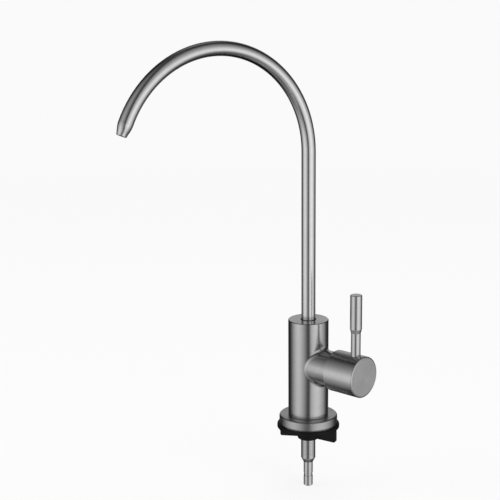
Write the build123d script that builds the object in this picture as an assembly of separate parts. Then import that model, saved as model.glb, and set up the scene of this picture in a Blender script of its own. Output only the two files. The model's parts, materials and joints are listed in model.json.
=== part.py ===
from build123d import *
import os
from math import atan2, cos, degrees, radians, sin

# Drinking water filter tap: a gooseneck spout that swivels on an upright body, a pin lever on a
# side arm that works a quarter turn ceramic cartridge, and a threaded shank for the counter hole.
# Millimetres, +Z up. The origin is on the tap's axis at the counter, under the base gasket.
# The arm points along +X. The spout points forward, along -Y, turned a little away from the arm.
# Threads are plain cylinders at their nominal size.

# Overall layout, heights measured from the counter and reaches from the tap's axis. The body's
# top is set from the arm, so that the spout's socket stays clear of the cartridge.
arm_height = 45.8
arm_reach = 48.1
arm_shoulder_reach = 24.0
lever_reach = 40.85
spout_turn = -14.0

# Clearances
press_clearance = 0.02
thread_clearance = 0.03
running_clearance = 0.05
axial_clearance = 0.2
loose_clearance = 0.3
overrun = 2.0
match_tolerance = 0.01

# Base gasket, black rubber
gasket_diameter = 43.0
gasket_thickness = 2.7
gasket_edge_radius = 0.8
gasket_foot_radius = 0.5

# Base flange, a turned cup that hides the counter hole
flange_diameter = 40.0
flange_height = 6.6
flange_edge_radius = 1.2
flange_foot_rise = 1.3
flange_foot_inset = 0.25
flange_rim = 3.4
flange_boss_diameter = 18.0
flange_recess_depth = 2.8
flange_recess_fillet = 0.8

# Tap body, a casting with an upright barrel and a side arm
body_diameter = 27.6
body_rise = 31.3
body_edge_chamfer = 0.4
body_spigot_diameter = 18.0
body_spigot_height = 1.5
arm_diameter = 23.8
arm_fillet = 2.8
arm_spigot_diameter = 20.4
arm_spigot_length = 3.0
arm_edge_chamfer = 0.3
gallery_diameter = 4.6
gallery_foot_offset = 0.3
gallery_head_offset = 8.2
inlet_port_diameter = 6.0
outlet_port_diameter = 5.0
outlet_port_reach = 2.9

# Mounting shank, a hollow M10 stud with the inlet tail brazed into its foot
shank_diameter = 10.0
shank_bore = 5.0
shank_engagement = 10.2
shank_depth = 25.8
shank_cone_height = 3.1
shank_lip = 0.25
shank_top_chamfer = 0.5
shank_seal_thickness = 1.5
shank_seal_bore = 5.6
shank_seal_shrink = 0.2
tail_diameter = 6.35
tail_wall = 1.0
tail_depth = 43.4
tail_socket_depth = 15.0
tail_end_chamfer = 0.45
tail_groove_depth = 0.22
tail_groove_width = 2.1
tail_groove_rise = 7.2

# Wing nut and the slip washer in its top face
nut_height = 8.5
nut_top_diameter = 18.0
nut_foot_diameter = 14.4
nut_edge_radius = 0.8
nut_face_drop = 0.1
washer_diameter = 14.6
washer_thickness = 0.8
wing_span = 41.6
wing_thickness = 3.8
wing_drop = 0.6
wing_arch = 0.6
wing_fall = 0.6
wing_corner_radius = 1.6
wing_turn = 19.5

# Spout tube, bent and swaged down at its outlet
spout_diameter = 9.53
spout_wall = 0.8
leg_height = 191.8
bend_radius = 70.8
bend_angle = 155.9
swage_length = 7.9
outlet_diameter = 6.5
outlet_lip_radius = 0.25
swage_shares = (0.0, 0.3, 0.65, 1.0)
swage_fall_shares = (0.0, 0.14, 0.57, 1.0)

# Spout foot, the turned plug brazed into the tube, and what holds and seals it
socket_diameter = 10.9
socket_depth = 20.1
foot_length = 13.2
foot_plug_length = 5.0
foot_bore = 5.5
foot_chamfer = 0.4
foot_seal_groove_width = 1.5
foot_seal_section = 1.1
foot_seal_rise = 2.6
foot_seal_pitch = 3.2
retaining_groove_width = 2.4
retaining_groove_depth = 1.0
retaining_groove_rise = 10.3
bush_length = 6.0
bush_stand = 0.2
bush_chamfer = 0.15
grub_diameter = 4.0
grub_length = 7.0
grub_dog_diameter = 2.0
grub_dog_length = 1.3
grub_socket_width = 2.0
grub_socket_depth = 2.2
grub_chamfer = 0.3

# Ceramic cartridge, places measured outward along the arm from the seat in the body
seat_reach = -1.0
seat_seal_thickness = 2.0
seat_seal_bore = 8.0
disc_diameter = 12.4
fixed_disc_thickness = 2.4
moving_disc_thickness = 2.6
disc_lug_width = 3.0
disc_port_angle = 74.0
disc_port_inner_radius = 1.7
disc_port_outer_radius = 5.0
disc_slot_width = 2.6
disc_slot_length = 8.4
disc_slot_depth = 1.3
cage_diameter = 14.6
cage_wall = 1.0
cage_setback = 0.4
cage_window_angle = 122.0
cartridge_bore = 17.0
seal_land_start = 10.0
seal_land_length = 4.0
housing_groove_width = 1.7
housing_seal_section = 1.3
hex_width = 18.0
hex_thickness = 4.0
hex_chamfer = 0.5
neck_diameter = 12.0
neck_length = 3.0

# Spindle and its seals and clip
spindle_diameter = 8.0
spindle_head_thickness = 1.8
spindle_end_chamfer = 0.4
spindle_seal_section = 1.0
spindle_groove_width = 1.3
spindle_seal_start = 13.5
spindle_seal_pitch = 4.0
stop_lug_angle = 30.0
stop_margin_angle = 1.0
clip_thickness = 0.6
clip_groove_depth = 0.6
clip_width = 1.9
clip_opening_angle = 70.0
drive_flat_width = 6.4

# Handle hub, its end cap, screw and glide ring
hub_diameter = 28.0
hub_seam = 0.25
hub_bore = 22.6
hub_web_reach = 35.6
hub_edge_chamfer = 0.35
hub_face_radius = 0.9
cap_rim = 1.1
cap_thickness = 3.0
cap_edge_chamfer = 0.12
hub_floor_thickness = 1.2
glide_length = 2.8
hub_screw_diameter = 4.0
hub_screw_length = 8.0
hub_screw_head_diameter = 7.4
hub_screw_head_height = 2.0
hub_screw_head_radius = 0.5
hub_screw_cross_width = 1.0
hub_screw_cross_length = 4.0
hub_screw_cross_depth = 1.1

# Lever, a turned pin with a thicker grip
grip_diameter = 8.0
grip_length = 23.2
grip_edge_radius = 0.5
lever_taper_length = 2.7
stem_diameter = 6.5
lever_height = 55.25
lever_seat_depth = 1.5
lever_thread_diameter = 5.0
lever_thread_length = 5.5
lever_thread_chamfer = 0.5

# Heights and places that follow from the sizes above
flange_top = gasket_thickness + flange_height
body_top = arm_height + body_rise
socket_floor = body_top - socket_depth
shank_top = flange_top + shank_engagement
shank_pocket_top = shank_top + shank_seal_thickness
foot_low = socket_floor + loose_clearance
foot_top = foot_low + foot_length
retaining_height = foot_low + retaining_groove_rise
outlet_radius = outlet_diameter / 2
spout_radius = spout_diameter / 2
tail_radius = tail_diameter / 2
shank_radius = shank_diameter / 2
stem_radius = stem_diameter / 2
cap_radius = hub_diameter / 2 - cap_rim
cap_seat_reach = arm_reach - cap_thickness
screw_seat_reach = cap_seat_reach - hub_screw_head_height - axial_clearance
drive_end_reach = screw_seat_reach - hub_floor_thickness
arm_face_reach = arm_shoulder_reach + arm_spigot_length
fixed_disc_place = seat_seal_thickness
moving_disc_place = fixed_disc_place + fixed_disc_thickness
head_place = moving_disc_place + moving_disc_thickness
cage_floor_place = head_place + spindle_head_thickness + axial_clearance
hex_place = arm_face_reach - seat_reach
neck_place = hex_place + hex_thickness
neck_end_place = neck_place + neck_length


# Shapes that repeat


def rod(radius, low, high):
    """A round bar on the Z axis."""
    return Pos(0, 0, low) * Cylinder(radius, high - low, align=(Align.CENTER, Align.CENTER, Align.MIN))


def sleeve(outer, inner, low, high):
    """A bar with a bore through it."""
    return rod(outer, low, high) - rod(inner, low - overrun, high + overrun)


def turned(*outline):
    """A solid turned about Z from an outline of radius and height pairs."""
    face = make_face(Plane.XZ * Polyline(*outline, close=True))
    return revolve(face, Axis.Z)


def seal_ring(surface_radius, section, height):
    """An O-ring whose outer side lies just inside the given bore."""
    centre = surface_radius - press_clearance - section / 2
    return Pos(0, 0, height) * Torus(centre, section / 2)


def sector(inner, outer, angle, low, high):
    """A ring segment centred on the +X side."""
    along = cos(radians(angle / 2))
    across = sin(radians(angle / 2))
    near_start, near_end = (inner * along, -inner * across), (inner * along, inner * across)
    far_start, far_end = (outer * along, -outer * across), (outer * along, outer * across)
    outline = (
        Line(near_start, far_start)
        + ThreePointArc(far_start, (outer, 0), far_end)
        + Line(far_end, near_end)
        + ThreePointArc(near_end, (inner, 0), near_start)
    )
    return Pos(0, 0, low) * extrude(make_face(outline), high - low)


def edges_at(solid, height, radius=None):
    """The round edges of a turned solid at one height."""
    picked = [
        edge
        for edge in solid.edges().filter_by(GeomType.CIRCLE)
        if abs(edge.center().Z - height) < match_tolerance
        and (radius is None or abs(edge.radius - radius) < match_tolerance)
    ]
    return ShapeList(picked)


# Places on the arm and on the turned spout
arm = Pos(0, 0, arm_height) * Rot(0, 90, 0)
cartridge = arm * Pos(0, 0, seat_reach)
spout = Rot(0, 0, spout_turn)


# Base


def base_gasket():
    ring = sleeve(gasket_diameter / 2, shank_radius + loose_clearance, 0, gasket_thickness)
    ring = fillet(edges_at(ring, gasket_thickness, gasket_diameter / 2), gasket_edge_radius)
    return fillet(edges_at(ring, 0, gasket_diameter / 2), gasket_foot_radius)


def base_flange():
    radius = flange_diameter / 2
    plate = turned(
        (0, gasket_thickness),
        (radius - flange_foot_inset, gasket_thickness),
        (radius, gasket_thickness + flange_foot_rise),
        (radius, flange_top),
        (0, flange_top),
    )
    plate = fillet(edges_at(plate, flange_top), flange_edge_radius)
    recess_top = gasket_thickness + flange_recess_depth
    recess_radius = radius - flange_rim
    recess = sleeve(recess_radius, flange_boss_diameter / 2, gasket_thickness - overrun, recess_top)
    recess = fillet(edges_at(recess, recess_top), flange_recess_fillet)
    seat_radius = body_spigot_diameter / 2 + running_clearance
    seat_floor = flange_top - body_spigot_height - loose_clearance / 2
    seat = rod(seat_radius, seat_floor, flange_top + overrun)
    hole = rod(shank_radius + loose_clearance, gasket_thickness - overrun, flange_top)
    return plate - recess - seat - hole


def tap_body():
    barrel = rod(body_diameter / 2, flange_top, body_top)
    branch = arm * rod(arm_diameter / 2, 0, arm_shoulder_reach)
    shell = barrel + branch
    crossing = shell.edges().filter_by(lambda edge: edge.geom_type not in (GeomType.CIRCLE, GeomType.LINE))
    shell = fillet(crossing, arm_fillet)
    ends = edges_at(shell, body_top) + edges_at(shell, flange_top)
    shell = chamfer(ends, body_edge_chamfer)
    shoulder = shell.edges().filter_by(GeomType.CIRCLE).sort_by(Axis.X)[-1]
    shell = chamfer(shoulder, arm_edge_chamfer)
    shell += rod(body_spigot_diameter / 2, flange_top - body_spigot_height, flange_top)
    shell += arm * rod(arm_spigot_diameter / 2, arm_shoulder_reach, arm_face_reach)

    # Spout socket, grub screw hole and shank hole
    shell -= rod(socket_diameter / 2, socket_floor, body_top + overrun)
    grub_hole = Cylinder(grub_diameter / 2 + thread_clearance, body_diameter / 2 + overrun,
                         align=(Align.CENTER, Align.CENTER, Align.MIN))
    shell -= Pos(0, 0, retaining_height) * Rot(-90, 0, 0) * grub_hole
    shell -= rod(shank_radius + thread_clearance, flange_top - body_spigot_height - overrun, shank_pocket_top)

    # Waterways: a cored gallery that slants past the cartridge to its seat, and the way up
    foot = Vector(-gallery_foot_offset, 0, shank_pocket_top)
    head = Vector(-gallery_head_offset, 0, arm_height)
    rise = head - foot
    tilt = degrees(atan2(rise.X, rise.Z))
    gallery = Pos(foot.X, foot.Y, foot.Z) * Rot(0, tilt, 0) * rod(gallery_diameter / 2, -overrun, rise.length)
    gallery = gallery & rod(body_diameter / 2, shank_pocket_top, body_top)
    shell -= gallery
    shell -= Pos(head.X, head.Y, head.Z) * Sphere(inlet_port_diameter / 2)
    shell -= arm * rod(inlet_port_diameter / 2, -gallery_head_offset, seat_reach + overrun)
    shell -= arm * rod(cartridge_bore / 2, seat_reach, arm_face_reach + overrun)
    outlet = rod(outlet_port_diameter / 2, arm_height, socket_floor + overrun)
    shell -= Pos(outlet_port_reach, 0, 0) * outlet
    return shell


# Shank, inlet tail and wing nut


def threaded_shank():
    cone_top = shank_cone_height - shank_depth
    foot_radius = tail_radius + shank_lip
    stud = turned(
        (0, -shank_depth),
        (foot_radius, -shank_depth),
        (shank_radius, cone_top),
        (shank_radius, shank_top - shank_top_chamfer),
        (shank_radius - shank_top_chamfer, shank_top),
        (0, shank_top),
    )
    socket_top = tail_socket_depth - shank_depth
    stud -= rod(tail_radius + press_clearance, -shank_depth - overrun, socket_top)
    return stud - rod(shank_bore / 2, -shank_depth, shank_top + overrun)


def shank_seal():
    radius = shank_radius - shank_seal_shrink
    return sleeve(radius, shank_seal_bore / 2, shank_top, shank_pocket_top)


def inlet_tail():
    top = tail_socket_depth - shank_depth
    groove_low = tail_groove_rise - tail_depth
    groove_high = groove_low + tail_groove_width
    slope = tail_groove_depth
    pipe = turned(
        (0, -tail_depth),
        (tail_radius - tail_end_chamfer, -tail_depth),
        (tail_radius, tail_end_chamfer - tail_depth),
        (tail_radius, groove_low),
        (tail_radius - tail_groove_depth, groove_low + slope),
        (tail_radius - tail_groove_depth, groove_high - slope),
        (tail_radius, groove_high),
        (tail_radius, top),
        (0, top),
    )
    return pipe - rod(tail_radius - tail_wall, -tail_depth - overrun, top + overrun)


def slip_washer():
    return sleeve(washer_diameter / 2, shank_radius + running_clearance * 2, -washer_thickness, 0)


def wing_nut():
    top = -nut_face_drop
    half_span = wing_span / 2
    hub = turned(
        (0, -nut_height),
        (nut_foot_diameter / 2, -nut_height),
        (nut_top_diameter / 2, top),
        (0, top),
    )
    hub = fillet(edges_at(hub, -nut_height), nut_edge_radius)
    hub_low = wing_arch - nut_height
    wing_low = -nut_height - wing_fall
    outline = Polyline(
        (-half_span, wing_low),
        (-nut_foot_diameter / 2, hub_low),
        (nut_foot_diameter / 2, hub_low),
        (half_span, wing_low),
        (half_span, -wing_drop),
        (-half_span, -wing_drop),
        close=True,
    )
    side = make_face(Plane.XZ * outline)
    side = fillet([corner for corner in side.vertices() if abs(corner.X) > nut_top_diameter], wing_corner_radius)
    plan = extrude(SlotOverall(wing_span, wing_thickness), wing_low)
    nut = hub + (extrude(side, wing_thickness, both=True) & plan)
    recess_radius = washer_diameter / 2 + running_clearance
    nut -= rod(recess_radius, -washer_thickness, overrun)
    nut -= rod(shank_radius + running_clearance, -nut_height - overrun, overrun)
    return Rot(0, 0, wing_turn) * nut


# Spout


def bend_place(angle):
    """The place on the bend's centre line after the given turn, with Z along the tube."""
    across = bend_radius * (1 - cos(radians(angle)))
    up = leg_height + bend_radius * sin(radians(angle))
    return Pos(0, -across, up) * Rot(angle, 0, 0)


def bent_rod(shrink):
    """The spout's outer form, or its bore when shrunk by the wall."""
    leg = rod(spout_radius - shrink, foot_top, leg_height)
    bend_axis = Axis((0, -bend_radius, leg_height), (1, 0, 0))
    section = Pos(0, 0, leg_height) * Circle(spout_radius - shrink)
    bend = revolve(section, bend_axis, bend_angle)
    fall = spout_radius - outlet_radius
    rings = [
        bend_place(bend_angle) * Pos(0, 0, swage_length * share) * Circle(spout_radius - shrink - fall * fall_share)
        for share, fall_share in zip(swage_shares, swage_fall_shares)
    ]
    return leg, bend, loft(rings)


def spout_tube():
    outer = bent_rod(0)
    inner = bent_rod(spout_wall)
    pipe = outer[0] + outer[1] + outer[2]
    outlet = bend_place(bend_angle) * Pos(0, 0, swage_length)
    lip = pipe.edges().sort_by_distance(outlet.position)[0]
    pipe = fillet(lip, outlet_lip_radius)
    for piece in inner:
        pipe -= piece
    foot_end = rod(spout_radius - spout_wall, foot_top - overrun, foot_top + overrun)
    mouth_end = outlet * rod(outlet_radius - spout_wall, -spout_wall / 2, overrun)
    return spout * (pipe - foot_end - mouth_end)


def spout_foot():
    radius = socket_diameter / 2 - running_clearance
    plug_radius = spout_radius - spout_wall - press_clearance
    plug = rod(radius, foot_low, foot_top)
    plug = chamfer(edges_at(plug, foot_low), foot_chamfer)
    plug += rod(plug_radius, foot_top, foot_top + foot_plug_length)
    floor_radius = socket_diameter / 2 - foot_seal_section - press_clearance * 2
    for step in range(2):
        middle = foot_low + foot_seal_rise + foot_seal_pitch * step
        plug -= sleeve(radius + overrun, floor_radius, middle - foot_seal_groove_width / 2,
                       middle + foot_seal_groove_width / 2)
    plug -= sleeve(radius + overrun, radius - retaining_groove_depth,
                   retaining_height - retaining_groove_width / 2, retaining_height + retaining_groove_width / 2)
    return spout * (plug - rod(foot_bore / 2, foot_low - overrun, foot_top + foot_plug_length + overrun))


def spout_seal(step):
    middle = foot_low + foot_seal_rise + foot_seal_pitch * step
    return seal_ring(socket_diameter / 2, foot_seal_section, middle)


def spout_bush():
    top = body_top + bush_stand
    outer = socket_diameter / 2 - press_clearance
    ring = sleeve(outer, spout_radius + running_clearance, top - bush_length, top)
    return chamfer(edges_at(ring, top, outer), bush_chamfer)


def spout_grub_screw():
    groove_floor = socket_diameter / 2 - running_clearance - retaining_groove_depth
    tip = groove_floor + running_clearance * 2
    dog_end = tip + grub_dog_length
    end = dog_end + grub_length
    screw = rod(grub_diameter / 2, dog_end, end)
    screw = chamfer(edges_at(screw, dog_end) + edges_at(screw, end), grub_chamfer)
    screw += rod(grub_dog_diameter / 2, tip, dog_end)
    key = extrude(RegularPolygon(grub_socket_width / 2, 6, major_radius=False), grub_socket_depth + overrun)
    screw -= Pos(0, 0, end - grub_socket_depth) * key
    return Pos(0, 0, retaining_height) * Rot(-90, 0, 0) * screw


# Cartridge, modelled along Z from the seat and then laid along the arm


def seat_seal():
    radius = disc_diameter / 2
    ring = sleeve(radius, seat_seal_bore / 2, 0, seat_seal_thickness)
    return cartridge * ring


def disc_ports(low, high, reach):
    """The two water ways through a ceramic disc, one on each side of the axis."""
    way = sector(disc_port_inner_radius, reach, disc_port_angle, low - overrun, high + overrun)
    return way + Rot(0, 0, 180) * way


def fixed_disc():
    high = fixed_disc_place + fixed_disc_thickness
    disc = rod(disc_diameter / 2, fixed_disc_place, high)
    lug_length = cage_diameter - loose_clearance
    lug = Pos(0, 0, fixed_disc_place) * Box(disc_lug_width, lug_length, fixed_disc_thickness,
                                            align=(Align.CENTER, Align.CENTER, Align.MIN))
    disc += lug
    return cartridge * (disc - disc_ports(fixed_disc_place, high, disc_port_outer_radius))


def drive_bar(width, length, low, high):
    return Pos(0, 0, low) * Box(length, width, high - low, align=(Align.CENTER, Align.CENTER, Align.MIN))


def moving_disc():
    """Closed at rest: its ways stand a quarter turn from those of the fixed disc."""
    disc = rod(disc_diameter / 2 - running_clearance, moving_disc_place, head_place)
    disc -= disc_ports(moving_disc_place, head_place, disc_diameter)
    slot = drive_bar(disc_slot_width, disc_slot_length, head_place - disc_slot_depth, head_place + overrun)
    return cartridge * (Rot(0, 0, 90) * disc - slot)


def cartridge_housing():
    cage_radius = cage_diameter / 2
    thread_radius = cartridge_bore / 2 - thread_clearance
    land_end = seal_land_start + seal_land_length
    shell = turned(
        (0, cage_setback),
        (cage_radius, cage_setback),
        (cage_radius, seal_land_start),
        (thread_radius, seal_land_start),
        (thread_radius, hex_place),
        (neck_diameter / 2, hex_place),
        (neck_diameter / 2, neck_end_place),
        (0, neck_end_place),
    )
    head = Pos(0, 0, hex_place) * extrude(RegularPolygon(hex_width / 2, 6, major_radius=False), hex_thickness)
    corner = rod(hex_width / 2 + hex_chamfer, hex_place, neck_place)
    corner = chamfer(edges_at(corner, neck_place), hex_chamfer)
    shell += head & corner
    cage_bore = cage_radius - cage_wall
    shell -= rod(cage_bore, cage_setback - overrun, cage_floor_place)
    shell -= rod(spindle_diameter / 2 + running_clearance, 0, neck_end_place + overrun)
    groove_floor = cartridge_bore / 2 - housing_seal_section - press_clearance * 2
    middle = (seal_land_start + land_end) / 2
    shell -= sleeve(thread_radius + overrun, groove_floor, middle - housing_groove_width / 2,
                    middle + housing_groove_width / 2)
    window = sector(cage_bore - cage_wall, cage_radius + cage_wall, cage_window_angle,
                    moving_disc_place + loose_clearance, cage_floor_place)
    shell -= window + Rot(0, 0, 180) * window
    slot = Pos(0, 0, fixed_disc_place) * Box(disc_lug_width + running_clearance * 2, cage_diameter + overrun,
                                             fixed_disc_thickness * 2 + overrun * 2)
    shell -= slot & rod(cage_radius + overrun, cage_setback - overrun, moving_disc_place)
    return cartridge * shell


def housing_seal():
    middle = seal_land_start + seal_land_length / 2
    return cartridge * seal_ring(cartridge_bore / 2, housing_seal_section, middle)


def spindle():
    radius = spindle_diameter / 2
    end = drive_end_reach - seat_reach - loose_clearance
    drive_start = hub_web_reach - seat_reach
    shaft = rod(radius, head_place, end)
    shaft = chamfer(edges_at(shaft, end), spindle_end_chamfer)
    block = Pos(0, 0, drive_start) * Box(spindle_diameter * 2, drive_flat_width, (end - drive_start) * 2 + overrun)
    shaft -= rod(radius * 2, drive_start, end + overrun) - block
    head_radius = cage_diameter / 2 - cage_wall - running_clearance * 2
    shaft += rod(head_radius, head_place, head_place + spindle_head_thickness)
    lug = sector(head_radius - cage_wall, cage_diameter / 2 - running_clearance * 2, stop_lug_angle,
                 head_place, head_place + spindle_head_thickness)
    lug_turn = (cage_window_angle - stop_lug_angle) / 2 - stop_margin_angle
    shaft += Rot(0, 0, -lug_turn) * lug + Rot(0, 0, 180 - lug_turn) * lug
    dog_width = disc_slot_width - running_clearance * 2
    dog_length = disc_slot_length - running_clearance * 4
    dog_low = head_place - disc_slot_depth + running_clearance
    shaft += drive_bar(dog_width, dog_length, dog_low, head_place)
    floor_radius = radius + running_clearance - spindle_seal_section - press_clearance * 2
    for step in range(2):
        middle = spindle_seal_start + spindle_seal_pitch * step
        shaft -= sleeve(radius + overrun, floor_radius, middle - spindle_groove_width / 2,
                        middle + spindle_groove_width / 2)
    clip_low = neck_end_place + running_clearance
    shaft -= sleeve(radius + overrun, radius - clip_groove_depth, clip_low, clip_low + clip_thickness)
    tapping = rod(hub_screw_diameter / 2 + thread_clearance, end - hub_screw_length, end + overrun)
    return cartridge * (shaft - tapping)


def spindle_seal(step):
    middle = spindle_seal_start + spindle_seal_pitch * step
    surface = spindle_diameter / 2 + running_clearance
    return cartridge * seal_ring(surface, spindle_seal_section, middle)


def spindle_clip():
    radius = spindle_diameter / 2 - clip_groove_depth + press_clearance
    low = neck_end_place + running_clearance
    ring = sleeve(radius + clip_width, radius, low, low + clip_thickness)
    mouth = sector(radius / 2, radius + clip_width + overrun, clip_opening_angle, low - overrun, low + overrun)
    return cartridge * (ring - Rot(0, 0, 90) * mouth)


# Handle


def handle_hub():
    low = arm_shoulder_reach + hub_seam
    radius = hub_diameter / 2
    hub = rod(radius, low, arm_reach)
    hub = fillet(edges_at(hub, arm_reach), hub_face_radius)
    hub = chamfer(edges_at(hub, low), hub_edge_chamfer)
    hub -= rod(hub_bore / 2, low - overrun, hub_web_reach)
    drive = rod(spindle_diameter / 2 + running_clearance, hub_web_reach - overrun, drive_end_reach)
    flats = Box(spindle_diameter * 2, drive_flat_width + running_clearance * 2, drive_end_reach * 2 + overrun)
    hub -= drive & flats
    hub -= rod(hub_screw_diameter / 2 + running_clearance * 2, hub_web_reach, cap_seat_reach)
    hub -= rod(hub_screw_head_diameter / 2 + loose_clearance, screw_seat_reach, cap_seat_reach + overrun)
    hub -= rod(cap_radius, cap_seat_reach, arm_reach + overrun)
    hub = arm * hub
    seat = Pos(lever_reach, 0, arm_height) * rod(stem_radius + running_clearance, radius - lever_seat_depth,
                                                 radius + overrun)
    thread_low = radius - lever_seat_depth - lever_thread_length - loose_clearance
    thread = Pos(lever_reach, 0, arm_height) * rod(lever_thread_diameter / 2 + thread_clearance, thread_low, radius)
    return hub - seat - thread


def hub_end_cap():
    disc = rod(cap_radius - press_clearance, cap_seat_reach, arm_reach)
    disc = chamfer(edges_at(disc, arm_reach) + edges_at(disc, cap_seat_reach), cap_edge_chamfer)
    return arm * disc


def hub_screw():
    radius = hub_screw_head_diameter / 2
    head_end = screw_seat_reach + hub_screw_head_height
    screw = rod(radius, screw_seat_reach, head_end)
    screw = fillet(edges_at(screw, head_end), hub_screw_head_radius)
    screw += rod(hub_screw_diameter / 2, screw_seat_reach - hub_screw_length, screw_seat_reach)
    for turn in (0, 90):
        screw -= Pos(0, 0, head_end) * Rot(0, 0, turn) * Box(hub_screw_cross_length, hub_screw_cross_width,
                                                            hub_screw_cross_depth * 2)
    return arm * screw


def hub_glide_ring():
    inner = arm_spigot_diameter / 2 + press_clearance
    outer = hub_bore / 2 - running_clearance
    return arm * sleeve(outer, inner, arm_shoulder_reach, arm_shoulder_reach + glide_length)


def handle_lever():
    seat = hub_diameter / 2 - lever_seat_depth
    thread_radius = lever_thread_diameter / 2
    thread_low = seat - lever_thread_length
    grip_low = lever_height - grip_length
    grip_radius = grip_diameter / 2
    pin = turned(
        (0, thread_low),
        (thread_radius - lever_thread_chamfer, thread_low),
        (thread_radius, thread_low + lever_thread_chamfer),
        (thread_radius, seat),
        (stem_radius, seat),
        (stem_radius, grip_low - lever_taper_length),
        (grip_radius, grip_low),
        (grip_radius, lever_height),
        (0, lever_height),
    )
    pin = fillet(edges_at(pin, lever_height), grip_edge_radius)
    return Pos(lever_reach, 0, arm_height) * pin


pieces = {
    "base_gasket": base_gasket(),
    "base_flange": base_flange(),
    "tap_body": tap_body(),
    "threaded_shank": threaded_shank(),
    "shank_seal": shank_seal(),
    "inlet_tail": inlet_tail(),
    "slip_washer": slip_washer(),
    "wing_nut": wing_nut(),
    "spout_tube": spout_tube(),
    "spout_foot": spout_foot(),
    "spout_oring_lower": spout_seal(0),
    "spout_oring_upper": spout_seal(1),
    "spout_bush": spout_bush(),
    "spout_grub_screw": spout_grub_screw(),
    "seat_seal": seat_seal(),
    "fixed_disc": fixed_disc(),
    "moving_disc": moving_disc(),
    "cartridge_housing": cartridge_housing(),
    "housing_oring": housing_seal(),
    "spindle": spindle(),
    "spindle_oring_inner": spindle_seal(0),
    "spindle_oring_outer": spindle_seal(1),
    "spindle_clip": spindle_clip(),
    "hub_glide_ring": hub_glide_ring(),
    "handle_hub": handle_hub(),
    "hub_screw": hub_screw(),
    "hub_end_cap": hub_end_cap(),
    "handle_lever": handle_lever(),
}

os.makedirs("parts", exist_ok=True)
for name, solid in pieces.items():
    export_step(solid, f"parts/{name}.step")
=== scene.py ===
import json
import math

import bmesh
import bpy
from mathutils import Matrix, Vector

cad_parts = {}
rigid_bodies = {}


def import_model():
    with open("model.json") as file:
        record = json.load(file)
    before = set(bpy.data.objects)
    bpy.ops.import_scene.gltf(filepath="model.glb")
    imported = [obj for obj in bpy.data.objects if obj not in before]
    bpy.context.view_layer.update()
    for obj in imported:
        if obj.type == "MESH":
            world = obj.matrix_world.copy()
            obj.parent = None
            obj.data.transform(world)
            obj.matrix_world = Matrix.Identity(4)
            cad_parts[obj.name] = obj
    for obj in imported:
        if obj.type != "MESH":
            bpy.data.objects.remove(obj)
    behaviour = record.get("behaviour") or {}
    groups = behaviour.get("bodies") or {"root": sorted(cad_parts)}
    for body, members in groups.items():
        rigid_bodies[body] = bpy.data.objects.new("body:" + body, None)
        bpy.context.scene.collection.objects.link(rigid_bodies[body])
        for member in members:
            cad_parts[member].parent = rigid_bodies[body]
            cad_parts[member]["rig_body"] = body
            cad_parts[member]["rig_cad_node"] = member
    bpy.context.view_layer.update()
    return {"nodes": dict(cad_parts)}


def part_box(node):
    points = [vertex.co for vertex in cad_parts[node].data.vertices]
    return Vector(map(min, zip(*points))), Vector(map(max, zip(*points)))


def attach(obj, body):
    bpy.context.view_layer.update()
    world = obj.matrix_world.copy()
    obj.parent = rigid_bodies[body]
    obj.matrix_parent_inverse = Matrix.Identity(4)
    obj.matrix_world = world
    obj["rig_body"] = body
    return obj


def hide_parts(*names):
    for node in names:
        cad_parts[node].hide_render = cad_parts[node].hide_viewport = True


bl_info = {
    "name": "Drinking Water Tap",
    "version": (1, 0, 0),
    "blender": (4, 5, 0),
    "location": "View3D > Sidebar > Tap",
    "description": "Finishes and fine pieces of a gooseneck drinking water tap",
    "category": "Add Mesh",
}

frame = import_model()

MM = 0.001
# Width in pixels of the frame that the focal length is given for
IMAGE_WIDTH = 500

# Where the tap's axes run, in metres
BODY_AXIS = (0.0, 0.0, 0.0)
ARM_HEIGHT = 0.0458
LEVER_REACH = 0.04085
SPOUT_TURN = math.radians(-14.0)
BEND_RADIUS = 0.0708
LEG_HEIGHT = 0.1918
ARM_AXIS = (0.0, 0.0, ARM_HEIGHT)
UPRIGHT, ALONG_ARM = "Z", "X"
# Between these places along +X the brush marks turn from round the barrel to round the arm
ARM_START, ARM_CLEAR = 14.4 * MM, 16.4 * MM

# Sizes of the pieces that are modelled here, which follow the solids
GASKET_HOLE_RADIUS = 5.3 * MM
# Widths of the gasket's rings in millimetres, from its rim inward: land, slope, groove, slope, and again
GASKET_RINGS = (2.2, 0.5, 1.1, 0.5, 1.3, 0.5, 1.1, 0.5)
GASKET_GROOVES = (2, 6)
SHANK_CONE_HEIGHT = 3.1 * MM
SHANK_FOOT_RADIUS = 3.425 * MM
SHANK_SOCKET_RADIUS = 3.195 * MM
SHANK_SOCKET_DEPTH = 15 * MM
SHANK_BORE_RADIUS = 2.5 * MM
SHANK_SIDES = 72
THREAD_RINGS_PER_TURN = 10
THREAD_RUN_OUT = 1.5 * MM

# Brush marks, fine and broad: how close they lie along the piece, and how short they are around it
FINE_BRUSH = (2600.0, 2.2)
BROAD_BRUSH = (330.0, 1.4)
BRUSH_HEIGHT = 0.03 * MM
STEEL_WEAR_WIDTH = 0.35 * MM
RUBBER_WEAR_WIDTH = 0.5 * MM
PLASTIC_WEAR_WIDTH = 0.4 * MM


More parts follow.
